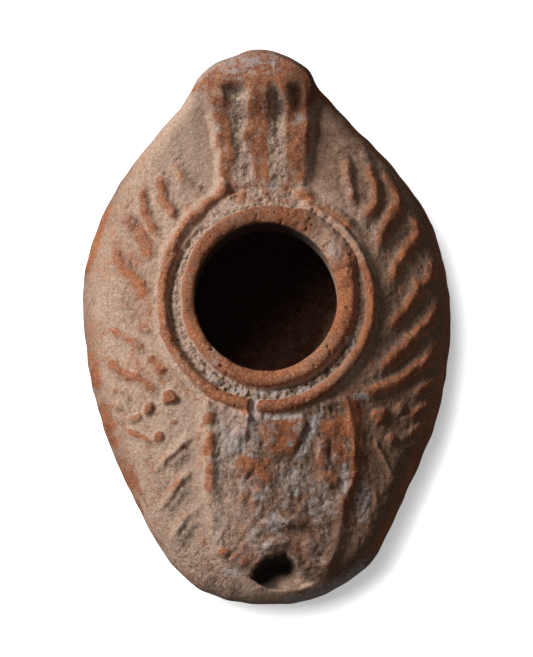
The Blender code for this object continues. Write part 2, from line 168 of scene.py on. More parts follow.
# Raised strokes: points across by along, half width, rise, and how far the crust is worn off the crest
RIDGES = (
    (((13.6, 28.8), (14.2, 26.4), (15.0, 21.3)), 0.95, 0.8, 0.55),
    (((17.4, 28.8), (18.3, 26.1), (19.0, 23.6), (18.6, 21.2), (16.6, 17.6)), 1.05, 0.9, 0.6),
    (((20.2, 27.1), (23.0, 22.3), (21.6, 19.1), (20.3, 16.4), (19.2, 12.4)), 1.2, 1.05, 0.8),
    (((25.6, 20.6), (26.4, 16.8), (24.7, 13.9), (23.2, 11.4), (20.7, 6.2)), 1.25, 1.05, 0.8),
    (((29.2, 13.8), (28.5, 9.8), (26.5, 7.5), (25.4, 4.5), (20.5, -1.8)), 1.2, 1.05, 0.75),
    (((30.4, 5.2), (28.3, 1.2), (25.4, -2.2), (21.5, -6.5), (18.6, -8.9)), 1.2, 1.1, 0.8),
    (((30.6, -1.2), (28.4, -5.0), (25.7, -7.7), (22.2, -10.2), (16.0, -13.2)), 1.2, 1.1, 0.85),
    (((29.9, -8.0), (27.7, -10.2), (25.2, -11.8)), 0.95, 0.85, 0.6),
    (((29.0, -11.8), (27.2, -13.9), (24.2, -15.9)), 0.95, 0.85, 0.55),
    (((28.2, -14.9), (26.1, -17.7), (24.2, -19.2)), 0.95, 0.85, 0.5),
    (((27.2, -18.2), (25.2, -20.8)), 0.9, 0.75, 0.45),
    (((25.0, -23.2), (23.4, -24.9)), 0.8, 0.6, 0.3),
    (((18.2, -20.0), (19.7, -22.3), (21.1, -25.1), (22.6, -27.4)), 0.4, 0.5, 0.1),
    (((17.7, -27.2), (19.0, -30.6)), 0.7, 0.5, 0.1),
    (((-16.2, 28.1), (-14.6, 25.4), (-12.4, 23.8)), 0.9, 0.7, 0.5),
    (((-12.2, -20.0), (-14.4, -21.6), (-16.1, -23.2), (-18.2, -25.2)), 1.3, 0.7, 0.15),
    (((-12.4, -25.8), (-14.3, -27.6), (-15.9, -29.8), (-17.6, -32.2)), 1.3, 0.7, 0.25),
    (((-11.2, -32.2), (-13.1, -33.8), (-14.6, -35.6), (-16.0, -37.6)), 1.3, 0.7, 0.1),
    (((-19.3, 26.2), (-18.3, 24.1), (-18.2, 22.1), (-17.0, 20.4), (-15.4, 18.1)), 1.05, 0.9, 0.7),
    (((-22.0, 24.2), (-21.2, 21.6), (-20.7, 18.9), (-19.0, 15.0)), 0.95, 0.95, 0.7),
    (((-25.4, 20.3), (-23.6, 18.3), (-21.3, 14.4), (-20.0, 10.5)), 1.4, 1.0, 0.7),
    (((-27.2, 14.8), (-25.7, 11.8), (-24.3, 9.6), (-22.5, 7.4), (-20.4, 3.1)), 1.3, 1.0, 0.75),
    (((-27.0, 5.5), (-24.6, 3.2), (-22.4, 0.9)), 0.95, 0.5, 0.3),
    (((-22.8, 0.2), (-19.6, -2.1)), 0.75, 0.55, 0.35),
    (((-27.6, 0.2), (-24.4, -2.2), (-20.4, -5.0)), 0.9, 0.7, 0.6),
    (((-20.6, -6.0), (-17.0, -9.2)), 0.85, 0.8, 0.75),
    (((-28.2, -4.5), (-25.2, -8.0), (-22.1, -9.5), (-18.4, -12.2)), 0.9, 0.85, 0.75),
    (((-26.8, -10.6), (-23.0, -13.0)), 0.75, 0.55, 0.5),
    (((-23.8, -18.2), (-19.8, -20.4)), 0.5, 0.55, 0.8),
    (((-0.8, -38.8), (1.4, -37.9), (4.0, -37.5), (6.6, -37.8), (8.8, -39.1)), 1.3, 0.55, 0.25),
    (((-5.0, -37.0), (-2.5, -34.3), (-0.8, -32.0)), 0.7, 0.2, 0.1),
)
# Ends of the outer ring: its left arc runs on into the stem, its right one breaks up, and it ends below
# in a point
RING_ENDS = (
    (((-17.8, 8.0), (-16.1, 13.4), (-14.3, 16.4), (-12.5, 18.6), (-10.5, 20.3), (-8.6, 21.7), (-7.5, 23.6),
      (-7.3, 27.0)),
     1.35, 1.5, 0.75),
    (((4.4, 22.6), (6.6, 22.5), (8.4, 20.6), (10.6, 19.3), (12.9, 17.8), (14.9, 16.0)), 1.4, 1.25, 0.7),
    (((-5.0, -14.4), (-3.8, -15.4), (-3.0, -17.8)), 0.85, 1.15, 0.9),
    (((-0.4, -15.2), (-1.4, -17.2)), 0.7, 0.8, 0.8),
)
# Pellets and lumps: middle, half width, half length, rise, worn
LUMPS = (
    ((19.4, -16.2), 1.2, 1.2, 1.1, 0.7), ((23.1, -14.7), 1.0, 1.0, 0.9, 0.5),
    ((21.5, -19.9), 1.0, 1.0, 0.9, 0.5), ((-16.5, -13.2), 1.3, 1.3, 1.2, 0.95),
    ((-20.1, -14.7), 1.0, 1.2, 0.9, 0.8), ((-22.5, -16.2), 1.2, 0.9, 0.6, 0.6),
    ((-25.3, -14.0), 0.8, 0.7, 0.5, 0.5), ((-18.4, -19.6), 1.0, 1.1, 0.7, 0.7),
    ((-16.0, -17.2), 0.7, 0.5, 0.4, 0.6), ((-4.3, -19.8), 1.2, 1.2, 0.8, 0.9),
    ((12.6, -18.6), 3.3, 1.9, 0.35, 0.9), ((9.6, -22.9), 1.4, 2.4, 0.6, 0.75),
    ((12.4, -22.8), 1.8, 2.4, 0.4, 0.75), ((10.5, -27.2), 2.2, 1.4, 0.7, 0.6),
    ((-2.9, -25.2), 2.9, 2.0, 0.45, 0.8), ((0.3, -24.2), 0.6, 0.5, 0.3, 0.9),
    ((-0.4, -27.0), 1.4, 0.8, 0.45, 0.7), ((-1.4, -29.3), 1.1, 0.8, 0.4, 0.7),
    ((-3.8, -29.8), 0.8, 1.3, 0.3, 0.5), ((-1.9, -31.0), 0.9, 0.7, 0.35, 0.6),
    ((4.2, -34.2), 2.6, 1.1, 0.6, 0.2), ((0.4, -34.6), 1.2, 1.0, 0.4, 0.3),
    ((-7.2, -39.3), 1.1, 0.8, 0.6, 0.9), ((-5.3, -40.1), 0.9, 0.8, 0.5, 0.75),
    ((-3.9, -40.7), 0.9, 0.7, 0.4, 0.7), ((6.0, -38.3), 1.8, 1.0, 0.2, 0.55),
    ((-9.8, -17.2), 1.2, 1.2, 0.3, 0.95), ((-9.7, -21.6), 1.1, 2.0, 0.3, 0.9),
    ((-9.6, -26.6), 0.9, 3.0, 0.25, 0.7), ((6.6, 21.6), 1.9, 1.2, 0.5, 0.8),
    ((-7.0, 36.8), 1.4, 1.6, 0.2, 0.9), ((5.9, 31.0), 1.6, 3.2, 0.1, 0.9),
    ((15.0, -16.5), 1.3, 4.0, 0.2, 0.9), ((15.2, -24.0), 1.0, 4.4, 0.2, 0.8),
)
# Cut strokes and pits: points, half width, depth, how whitish they are filled
CUTS = (
    (((-12.0, -21.2), (-13.4, -22.6), (-15.0, -23.9), (-17.0, -25.8)), 1.2, 2.2, 0.0),
    (((-12.4, -27.0), (-13.8, -28.9), (-15.2, -30.8), (-17.0, -33.3)), 1.15, 2.2, 0.0),
    (((-11.3, -33.5), (-12.6, -34.8), (-13.7, -36.5), (-15.2, -38.3)), 1.3, 2.6, 0.0),
    (((-17.2, -26.4), (-19.0, -28.8)), 0.9, 0.9, 0.0),
    (((-8.3, -15.4), (-8.2, -23.6), (-7.9, -30.6)), 0.6, 0.25, 0.6),
    (((-0.2, -36.2), (3.1, -36.0), (5.7, -35.9), (8.3, -35.7), (11.0, -35.0)), 0.75, 0.45, 0.1),
    (((-4.6, -27.8), (-3.3, -27.1), (-2.0, -25.9)), 0.32, 1.1, 0.0),
    (((9.6, -14.6), (7.9, -18.3), (6.1, -22.5), (4.4, -25.8)), 1.0, 0.4, 0.9),
    (((6.0, -29.3), (6.1, -29.7)), 0.5, 0.8, 0.0),
    (((8.0, -22.0), (7.9, -23.4)), 0.6, 0.6, 0.0),
    (((10.8, -21.6), (10.7, -23.8)), 0.5, 0.45, 0.0),
    (((-18.3, 29.4), (-18.3, 29.5)), 0.3, 0.5, 0.0),
    (((-9.6, 18.2), (-8.2, 19.8)), 0.7, 0.6, 0.0),
    (((17.0, -14.6), (17.2, -20.0), (17.2, -28.0), (15.4, -36.0)), 1.2, 0.5, 0.0),
)
# Whitish deposits: middle, half width, half length, strength
DEPOSITS = (
    ((2.4, -16.9), 4.8, 0.6, 0.9), ((-5.4, -20.6), 2.9, 2.8, 0.75), ((3.9, -21.6), 0.8, 0.7, 0.8),
    ((4.6, -27.2), 3.4, 3.2, 0.55), ((9.4, -31.8), 3.6, 2.4, 0.45), ((7.4, -38.0), 3.6, 1.4, 0.4),
    ((-6.0, -42.2), 2.4, 1.0, 0.55), ((-8.2, -34.6), 1.2, 4.4, 0.4), ((14.2, -3.8), 1.1, 1.3, 0.8),
    ((-2.0, -15.0), 0.8, 2.6, 0.8), ((16.0, -13.0), 2.0, 1.0, 0.6), ((13.4, -27.6), 1.0, 3.4, 0.6),
    ((16.4, -30.4), 1.5, 4.6, 0.5), ((5.2, 34.6), 1.0, 1.2, 0.55), ((-8.6, 33.8), 1.0, 1.6, 0.4),
    ((-7.6, 44.2), 3.8, 0.7, 0.6), ((11.6, 12.0), 1.4, 2.6, 0.5), ((-9.0, -6.5), 1.2, 2.6, 0.35),
    ((1.0, 24.0), 1.2, 0.9, 0.6), ((-24.2, 18.0), 2.2, 2.4, 0.3), ((14.6, 25.0), 1.6, 3.0, 0.35),
    ((-3.6, 29.0), 0.6, 1.6, 0.4),
)
# Soft spots, one earthy and one burnt: middle, half width, half length
EARTHY_LEFT = (-22.5, 8.0, 5.5, 13.0)
BURNT_CORNER = (14.6, -39.0, 3.6, 3.4)

# Nozzle panel: its two edges, each by its place along the lamp, and how far it reaches along
PANEL_LEFT = ((-3.6, -42.5), (-7.9, -39.6), (-8.9, -36.2), (-9.3, -32.1), (-9.7, -29.0), (-9.9, -14.9))
PANEL_RIGHT = (
    (10.8, -41.2), (12.2, -38.4), (12.8, -34.7), (13.4, -31.5), (15.4, -26.2), (15.2, -19.0),
    (13.8, -13.0),
)
PANEL_REACH = (-42.5, -13.2)
# Worn tongue at its top: where it starts, its length, its half widths at top and tip, and its middle across
TONGUE_TOP = -17.5
TONGUE_LENGTH = 5.9
TONGUE_HALVES = (4.5, 1.7)
TONGUE_MIDDLE = 2.7
# Stretches of the left edge where the crust is worn off, from and to along the lamp
LEFT_EDGE_WORN = ((12.0, 22.6), (-10.4, -2.6), (-19.6, -12.0), (-30.6, -22.6))

# Wick hole: its left and right edge, each by its place along the lamp, its depth, and its arch and lip along
WICK_LEFT = (
    (2.4, -45.4), (0.3, -45.1), (-1.1, -44.4), (-2.8, -43.3), (-2.4, -42.1), (-1.4, -41.0), (-0.2, -40.0),
    (2.4, -39.3),
)
WICK_RIGHT = (
    (2.6, -45.4), (5.2, -45.0), (7.5, -44.4), (8.0, -43.9), (6.3, -42.8), (5.4, -41.8), (4.8, -40.5),
    (3.4, -39.4),
)
WICK_DEPTH = 5.6
WICK_ARCH = -39.1
WICK_LIP = -45.4
# How steeply its sides go down: left, right by place along, at the lip, and under the arch
WICK_LEFT_STEEP = 4.2
WICK_RIGHT_STEEP = ((0.8, -43.6), (3.6, -41.4))
WICK_LIP_STEEP = 1.2
WICK_ARCH_STEEP = 4.0

# How far a ridge's foot reaches in half widths, and the width over which the relief dies out at the outline
RIDGE_SPREAD = 1.55
EDGE_BLEND = 1.3
# How the shoulder's rows crowd towards the edge, from evenly at 0 to a quarter turn at 1
ROW_CROWDING = 0.5
# Worn flakes: their size, and over how many rows they run out below the edge
FLAKE_GRAIN = 2.6
FLAKE_ROWS = 2.5

# What lies on the clay, and how much of it inside the hollow and on the underside. The soot layer also
# carries painted shade, and the dust layer painted light and shade
STATES = ("worn", "white", "soot", "sand", "dust")
INSIDE = {"worn": 0.4, "white": 0.0, "soot": 0.2, "sand": 0.1, "dust": 0.8}
UNDERSIDE = {"worn": 0.35, "white": 0.05, "soot": 0.0, "sand": 0.25, "dust": 0.55}
# Soot inside the hollow, with painted shade: its amount at the upper left, where the shade falls, and at the
# lower right, where the light falls
INSIDE_SOOT_AND_SHADE = (0.9, 0.1)


def unit(t):
    """Cuts values off below 0 and above 1."""
    return np.clip(t, 0.0, 1.0)


def eased(t):
    """Eases from 0 to 1 as t goes from 0 to 1."""
    t = unit(t)
    return t * t * (3.0 - 2.0 * t)


def mix(a, b, t):
    """From a at 0 to b at 1."""
    return a + (b - a) * t


def along_body(share, values):
    """Values at these shares of the length, eased between the nozzle, side and handle values."""
    nozzle, side, handle = values
    to_nozzle = eased((NOZZLE_END - share) / NOZZLE_END)
    to_handle = eased((share - HANDLE_START) / (1.0 - HANDLE_START))
    return side + (nozzle - side) * to_nozzle + (handle - side) * to_handle


def through(points, steps, closed=False):
    """A smooth curve through the points."""
    points = [Vector(p) for p in points]
    last = len(points) - 1
    curve = []
    for i in range(last + closed):
        near = [k % len(points) if closed else min(max(k, 0), last) for k in range(i - 1, i + 3)]
        before, start, end, after = (points[k] for k in near)
        for k in range(steps):
            t = k / steps
            curve.append(
                0.5 * (2 * start + (end - before) * t + (2 * before - 5 * start + 4 * end - after) * t**2
                       + (3 * start - before - 3 * end + after) * t**3)
            )
    if not closed:
        curve.append(points[-1])
    return np.array(curve)


def outline_by_angle():
    """The outline as angle, distance from the filling hole and share of the length, over three turns."""
    x, y = through(OUTLINE, OUTLINE_STEPS, closed=True).T
    angle = np.unwrap(np.arctan2(y - HUB_Y, x))
    turns = np.concatenate((angle - 2 * math.pi, angle, angle + 2 * math.pi))
    return turns, np.tile(np.hypot(x, y - HUB_Y), 3), np.tile((y - NOZZLE_TIP) / LENGTH, 3)


def quarter_turns(count):
    """Evenly spaced turns up to a quarter, in radians, without the start."""
    return [math.pi / 2 * i / count for i in range(1, count + 1)]


def even_angles(count):
    """Angles that divide the outline into equal lengths."""
    x, y = through(OUTLINE, OUTLINE_STEPS, closed=True).T
    x, y = np.append(x, x[0]), np.append(y, y[0])
    walked = np.concatenate(([0.0], np.cumsum(np.hypot(np.diff(x), np.diff(y)))))
    wanted = np.linspace(0.0, walked[-1], count, endpoint=False)
    return np.unwrap(np.arctan2(np.interp(wanted, walked, y) - HUB_Y, np.interp(wanted, walked, x)))


def reach_of(oval, angle):
    """Distance from the filling hole's middle to an oval's edge along each angle."""
    middle_x, middle_y, half_width, half_length = oval
    dx, dy = np.cos(angle) / half_width, np.sin(angle) / half_length
    px, py = -middle_x / half_width, (HUB_Y - middle_y) / half_length
    a, b, c = dx**2 + dy**2, px * dx + py * dy, px**2 + py**2 - 1.0
    return (-b + np.sqrt(b**2 - a * c)) / a


def noise_at(places, grain, seed):
    """Perlin noise at places in millimetres, with bumps about one grain apart."""
    shift = Vector((seed * 17.3, seed * 5.1, seed * 9.7))
    values = [noise.noise(Vector(p) + shift) for p in places.reshape(-1, 3) / grain]
    return np.array(values).reshape(places.shape[:-1])


def near_line(x, y, points):
    """Distance to a smooth line through the points, and how far along it the nearest place lies."""
    curve = through(points, 4 if len(points) > 2 else 1)
    steps = np.hypot(*np.diff(curve, axis=0).T)
    best, along, walked = np.full(x.shape, np.inf), np.zeros(x.shape), 0.0
    for (x0, y0), (x1, y1), length in zip(curve, curve[1:], steps):
        dx, dy = x1 - x0, y1 - y0
        t = unit(((x - x0) * dx + (y - y0) * dy) / length**2)
        distance = np.hypot(x - x0 - t * dx, y - y0 - t * dy)
        closer = distance < best
        best = np.where(closer, distance, best)
        along = np.where(closer, (walked + t * length) / steps.sum(), along)
        walked += length
    return best, along


def bump(distance, reach):
    """A rounded ridge across its distance: 1 on the crest, and 0 a little beyond its reach."""
    return 1.0 - eased(distance / (reach * RIDGE_SPREAD))


def within(value, low, high, edge):
    """1 between low and high, fading over the edge."""
    return eased((value - low) / edge + 0.5) * eased((high - value) / edge + 0.5)


def arch(t, power):
    """A full rounded section over t from 0 to 1, and 0 outside."""
    return unit(1.0 - np.abs(2.0 * t - 1.0) ** power) ** (1.0 / power)


def value_at(y, line):
    """A value that is given by its place along the lamp, at each y."""
    values, along = np.array(line).T
    return np.interp(y, along, values)


def smooth_max(a, b, soft):
    """The higher of two surfaces, with a soft valley between them."""
    blend = unit(0.5 + 0.5 * (a - b) / soft)
    return mix(b, a, blend) + soft * blend * (1.0 - blend)


class UpperSkin:
    """The upper half's relief over a grid of places, and what lies on it, with its painted light and shade.
    """

    def __init__(self, grid, reaches, sizes):
        self.x, self.y, self.z = np.moveaxis(grid, -1, 0)
        self.reaches, self.sizes = reaches, sizes
        self.radius = np.hypot(self.x, self.y - HUB_Y)
        self.degrees = np.degrees(np.arctan2(self.y - HUB_Y, self.x)) % 360.0
        flat = np.stack((self.x, self.y, np.zeros_like(self.x)), axis=-1)
        # Unevenness from wide to fine
        self.cloud = noise_at(flat, 7.0, 5)
        self.lump = noise_at(flat, 2.0, 6)
        self.knob = noise_at(flat, 1.1, 7)
        self.grit = noise_at(flat, 0.6, 8)
        self.warp_x = 0.3 * noise_at(flat, 2.6, 1) + 0.2 * noise_at(flat, 0.9, 2)
        self.warp_y = 0.3 * noise_at(flat, 2.6, 3) + 0.2 * noise_at(flat, 0.9, 4)
        self.wx, self.wy = self.x + self.warp_x, self.y + self.warp_y
        self.to_edge = reaches["outer"] - self.radius
        self.past_ring = eased((self.radius - reaches["ring"]) / 0.9)
        self.rise = np.zeros_like(self.x)
        # Smooth flanks beside the handle
        flank = within(self.y, 19.0, 44.0, 7.0) * eased((self.radius - 20.0) / 4.0)
        self.flank = flank * eased((1.0 - np.abs(self.x) / 27.0) / 0.45)
        self.worn = np.clip(0.18 - 0.004 * self.x + 0.5 * self.cloud + 0.3 * self.lump, 0.0, 0.38)
        self.worn *= 1.0 - 0.7 * self.flank
        self.white = np.zeros_like(self.x)
        self.soot = np.zeros_like(self.x)
        self.sand = np.zeros_like(self.x)
        # Pale dust, partly painted light: paler towards the left and the back, where the light comes from,
        # and browner towards the right
        self.dust = unit(0.8 - 0.020 * self.x + 0.004 * self.y + 0.25 * self.cloud)

    def around(self, stretch):
        """1 in a stretch round the filling hole, fading at its ends."""
        return within(self.degrees, *stretch)

    def lay(self, **amounts):
        """Raises each named layer of the skin to at least its amount."""
        for layer, amount in amounts.items():
            setattr(self, layer, np.maximum(getattr(self, layer), amount))

    def spot(self, middle_x, middle_y, half_width, half_length):
        """1 in the middle of a soft round spot, fading outwards."""
        return np.exp(-(((self.x - middle_x) / half_width) ** 2 + ((self.y - middle_y) / half_length) ** 2))

    def stroke(self, points, half_width, taper):
        """Distance to a stroke's middle line, and its rounded section."""
        distance, along = near_line(self.wx, self.wy, points)
        at_end, share = taper
        ends = mix(at_end, 1.0, eased(np.minimum(along, 1.0 - along) / share))
        return distance, bump(distance, half_width) * ends

    def ridges(self):
        """Oblique ridges and pellets on the shoulders, and lumps and worn patches on the nozzle."""
        scale = self.sizes.ridge_rise / MM
        for points, half_width, rise, worn in RIDGES:
            distance, shape = self.stroke(points, half_width, RIDGE_TAPER)
            shape *= np.clip(1.0 + 0.35 * self.lump, 0.0, 1.4)
            self.lay(rise=shape * rise * scale, worn=unit(shape * 1.25) * worn)
            beside = bump(distance, 2.4 * half_width) * (1.0 - shape)
            self.lay(sand=0.9 * beside * unit(0.7 + 1.5 * self.knob))
        for (x, y), half_width, half_length, rise, worn in LUMPS:
            distance = np.hypot((self.wx - x) / half_width, (self.wy - y) / half_length)
            distance += 0.3 * self.knob + 0.3 * self.lump
            shape = eased(1.7 - 1.35 * distance)
            self.lay(rise=self.rise * 0.5 + shape * rise * scale, worn=unit(shape * 1.3) * worn)

    def cuts(self):
        """Cut strokes, cracks and pits."""
        for points, half_width, depth, white in CUTS:
            _, shape = self.stroke(points, half_width, CUT_TAPER)
            self.rise -= shape * depth * np.clip(1.0 + 0.5 * self.lump + 0.5 * self.knob, 0.6, 1.4)
            self.worn *= 1.0 - 0.9 * shape
            self.lay(white=shape * white, sand=shape * 0.9)
            # Painted shade in the cuts, darker for deeper cuts, with darker earth in them
            self.lay(soot=shape * min(0.2 * depth, 0.45) * (1.0 - white))

    def rings(self):
        """Rim round the filling hole, groove and outer ring."""
        wobble = 0.16 * self.lump + 0.22 * self.cloud
        inside, rim, groove, ring = (self.reaches[name] for name in ("mouth", "rim", "groove", "ring"))
        rim = mix(rim, ring - 1.3, 0.8 * self.around(WIDE_RIM))
        across_rim = (self.radius + wobble - inside + 0.3) / (rim - inside + 0.3)
        across_ring = (self.radius + wobble - groove) / (ring - groove)
        gap = self.around(NO_RING)
        notch = np.exp(-(((self.wx + 2.2 - 0.09 * (self.y + 15.0)) / 0.65) ** 2)) * (self.y < -8.0)
        rim_shape = arch(across_rim, 2.6) * (1.0 + 0.12 * self.lump + 0.08 * self.cloud)
        ring_shape = arch(across_ring, 2.1) * (1.0 - gap) * (1.0 - 0.95 * notch) * (1.0 + 0.15 * self.lump)
        rough = 0.25 * self.knob * self.around(ROUGH_RINGS)
        bottom = 0.45 + 0.25 * self.lump + 0.5 * self.around(FILLED_GROOVE)
        bottom += (0.15 * self.knob - 0.2) * self.around(PITTED_GROOVE)
        rings = np.maximum(rim_shape * self.sizes.rim_rise / MM, ring_shape * self.sizes.ring_rise / MM)
        rings = np.maximum(rings, bottom) + rough
        by_ring = within(self.radius, groove - 0.9, groove, 0.5) * self.around(UNDERCUT_RING)
        by_rim = within(self.radius, rim, rim + 0.5, 0.5) * self.around(UNDERCUT_RIM)
        rings -= 0.45 * np.maximum(by_ring, by_rim)
        crest = np.maximum(arch(across_rim, 3.0), 0.92 * arch(across_ring, 3.0) * (1.0 - gap) * (1.0 - notch))
        crest = unit(crest * 1.25)
        rings -= unit(-self.grit - 0.42) * 1.2 * crest
        self.rise = self.rise * self.past_ring + rings * (1.0 - self.past_ring)
        self.worn *= self.past_ring
        for points, half_width, rise, worn in RING_ENDS:
            _, shape = self.stroke(points, half_width, RING_TAPER)
            shape *= np.clip(1.0 + 0.3 * self.lump, 0.0, 1.3)
            self.lay(rise=shape * rise, worn=shape * worn)
        dusty = 0.4 * self.around(DUSTY_RINGS) + np.clip(self.cloud, 0.0, 0.3)
        self.lay(worn=crest * (0.96 - dusty))
        in_groove = within(self.radius, rim, groove, 0.7) * (1.0 - 0.8 * crest)
        self.lay(sand=in_groove * 0.95)
        shaded = arch(across_rim, 3.0) * self.around(SHADED_RIM)
        self.lay(soot=0.34 * shaded)
        self.dust -= 0.55 * shaded
        pitted = in_groove * self.around(PITTED_GROOVE)
        self.lay(soot=pitted * np.clip(0.12 - 1.3 * self.knob, 0.0, 0.6))
        whitish = in_groove * self.around(WHITE_GROOVE)
        self.lay(white=whitish * np.clip(0.35 + 1.3 * self.knob, 0.0, 0.85))

    def panel(self):
        """Raised nozzle panel between its two long ridges, and the worn tongue at its top."""
        left = value_at(self.y, PANEL_LEFT) + 0.9 * self.warp_x
        right = value_at(self.y, PANEL_RIGHT) + 0.9 * self.warp_x
        span = within(self.y, *PANEL_REACH, 2.2) * self.past_ring
        plate = eased((self.x - left) / 2.0 + 0.8) * eased((right - self.x) / 1.0 + 0.6) * span
        left_crest = bump(np.abs(self.x - left), 1.5) * (0.2 + 0.8 * eased((self.y + 32.0) / 3.0))
        crest = np.maximum(left_crest, 0.75 * bump(np.abs(self.x - right), 1.4)) * span
        crest *= 1.0 + 0.3 * self.lump
        down = (TONGUE_TOP - self.wy) / TONGUE_LENGTH
        half = mix(*TONGUE_HALVES, unit(down))
        tongue = within(down, 0.0, 1.0, 0.14) * within(self.wx - TONGUE_MIDDLE, -half, half, 0.8)
        tongue *= self.past_ring
        uneven = 0.2 * self.lump + 0.1 * self.knob + 0.3 * self.cloud
        plate_rise = self.sizes.panel_rise / MM + uneven * (1.0 - 0.5 * tongue)
        self.rise += plate * plate_rise + crest * 0.75 + tongue * 0.55
        right_wear = eased((self.y + 38.0) / 8.0) * 0.85
        left_wear = eased((self.y + 31.0) / 3.0) * 0.2
        self.lay(worn=crest * np.where(self.x > 0.0, right_wear, left_wear))
        self.lay(worn=tongue * 0.95, soot=tongue * 0.25)
        inner = plate * unit(1.0 - crest)
        low_left = eased((2.0 - self.x) / 6.0) * eased((-26.0 - self.y) / 6.0)
        self.lay(sand=0.7 * inner)
        self.dust -= 0.5 * inner * eased((self.x + 9.0) / 8.0)
        whitish = 0.3 - 0.2 * low_left + 0.5 * self.lump + 0.4 * self.cloud
        self.lay(white=inner * np.clip(whitish, 0.0, 0.75))
        # Painted light: the slope outside the left ridge gets pale dust and less sand, where the light falls
        # on it
        lit_slope = within(self.x, left - 3.4, left - 0.6, 1.0) * span
        self.lay(dust=lit_slope)
        self.sand *= 1.0 - 0.7 * lit_slope

    def handle(self):
        """Stem with its three hollows, and the knob at its head."""
        x, y, base = self.x, self.y, self.z + self.rise
        left = value_at(y, STEM_LEFT) + 0.8 * self.warp_x
        right = value_at(y, STEM_RIGHT) + 0.8 * self.warp_x
        climb = (y - STEM_FOOT[0]) / (STEM_HEAD[0] - STEM_FOOT[0])
        stem = mix(STEM_FOOT[1], STEM_HEAD[1], np.clip(climb, -0.3, 1.1)) + 0.2 * self.lump
        on_stem = eased((x - left) / 1.6 + 0.35) * eased((right - x) / 2.4 + 0.45) * eased((y - 22.2) / 2.0)
        hollow, in_hollow = np.zeros_like(x), np.zeros_like(x)
        for low_side, high_side, depths in HOLLOWS:
            low, high = value_at(y, low_side), value_at(y, high_side)
            start, end = low_side[0][1], low_side[-1][1]
            section = arch((self.wx - low) / (high - low), 1.6)
            section *= eased((self.wy - start) / 1.4 + 0.4) * eased((end - self.wy) / 2.6 + 0.3)
            hollow = np.maximum(hollow, section * value_at(y, depths))
            in_hollow = np.maximum(in_hollow, section)
        reach_x, ahead, behind, up = HEAD_REACH
        across = np.abs(x - HEAD_MIDDLE[0]) / reach_x
        along = np.abs(y - HEAD_MIDDLE[1]) / np.where(y > HEAD_MIDDLE[1], behind, ahead)
        inside = unit(1.0 - across ** HEAD_SQUARE[0] - along ** HEAD_SQUARE[1])
        on_head = eased(inside / 0.25)
        slowness = mix(*HEAD_SLOWNESS, eased((y - 36.0) / 5.0))
        stem_top = mix(base, np.maximum(stem, base), on_stem)
        head = mix(stem_top - 2.0, HEAD_MIDDLE[2] + up * inside**slowness, on_head)
        top = mix(base, smooth_max(head, stem_top, 1.8), eased(self.to_edge / 2.2))
        shape = np.maximum(on_stem, on_head)
        self.rise = top - hollow * shape - self.z
        patchy = unit(0.6 + 0.05 * x + 1.2 * self.lump + 0.8 * self.cloud)
        brow = np.exp(-(((y - BROW[0]) / BROW[1]) ** 2))
        worn = unit(1.0 - in_hollow * 1.6) * on_stem * eased(climb / 0.12 + 0.3)
        worn *= unit(0.78 + 0.6 * self.lump + 0.4 * self.knob)
        worn = np.maximum(worn, 0.8 * in_hollow * within(x, 3.2, 8.0, 0.6) * (y > 35.5))
        worn = np.maximum(worn, on_head * (1.0 - in_hollow) * np.maximum(patchy * 0.8, brow * 0.9))
        self.worn = mix(self.worn, np.maximum(self.worn * 0.7, worn), shape)
        self.sand = mix(self.sand, np.maximum(0.15, in_hollow * 0.95), shape)
        whitish = np.clip(0.6 * self.lump - 0.03 * x + 0.4 * eased((y - 40.5) / 3.0), 0.0, 0.6)
        self.white = np.maximum(self.white * (1.0 - shape), on_head * whitish)
        # Painted shade on the head: less pale dust and more darkening towards its right side, away from the
        # light
        self.dust -= on_head * np.clip(0.1 + 0.05 * x, 0.0, 0.5)
        self.lay(soot=0.45 * on_head * eased((x - 1.0) / 5.0))
        # Painted shadow in the hollows' upper ends, under the brow
        self.lay(soot=0.75 * in_hollow * shape * within(y, 38.2, 42.0, 1.6))
        foot = within(y, 20.6, 24.6, 1.6) * within(x, -6.5, 5.0, 2.0)
        self.lay(worn=foot * np.clip(0.35 + 0.8 * self.lump, 0.0, 0.7), sand=foot * 0.9)
        self.flank *= 1.0 - shape

    def wick_hole(self):
        """Burnt hole in the nozzle's tip: steep under its arch, and sloping up to the lip, with soot and
        painted shade in it.
        """
        wx, wy = mix(self.x, self.wx, 0.25), mix(self.y, self.wy, 0.25)
        from_left, from_right = wx - value_at(wy, WICK_LEFT), value_at(wy, WICK_RIGHT) - wx
        depth = np.minimum(from_left * WICK_LEFT_STEEP, from_right * value_at(wy, WICK_RIGHT_STEEP))
        depth = np.minimum(depth, (wy - WICK_LIP) * WICK_LIP_STEEP)
        depth = np.minimum(depth, (WICK_ARCH - wy) * WICK_ARCH_STEEP)
        depth = np.clip(np.where(wy < WICK_LEFT[-1][1], depth, 0.0), 0.0, WICK_DEPTH)
        self.rise -= depth
        in_hole = eased(depth / 0.8)
        lit = eased((self.wx - 0.5) / 3.5) * eased((-41.0 - self.wy) / 2.2)
        self.worn *= 1.0 - 0.8 * in_hole
        self.sand = mix(self.sand, 0.25, in_hole)
        self.dust = mix(self.dust, 0.6, in_hole)
        # Soot and painted shade in the hole: dark all over but its lower right floor, where the light falls
        # in
        self.soot = np.maximum(self.soot * (1.0 - in_hole), in_hole * (1.0 - lit) * 0.85)
        # The tip's front lip: whitish deposit, and a little painted shade where it curves down away from the
        # light
        front = within(self.x, 3.0, 17.5, 3.0) * eased(1.0 - self.to_edge / 2.4) * (self.y < -36.0)
        self.lay(soot=front * 0.15, white=front * 0.8)
        self.sand *= 1.0 - 0.8 * front
        corner = self.spot(*BURNT_CORNER)
        self.lay(soot=corner * 0.55 * unit(0.6 + 0.9 * self.knob))

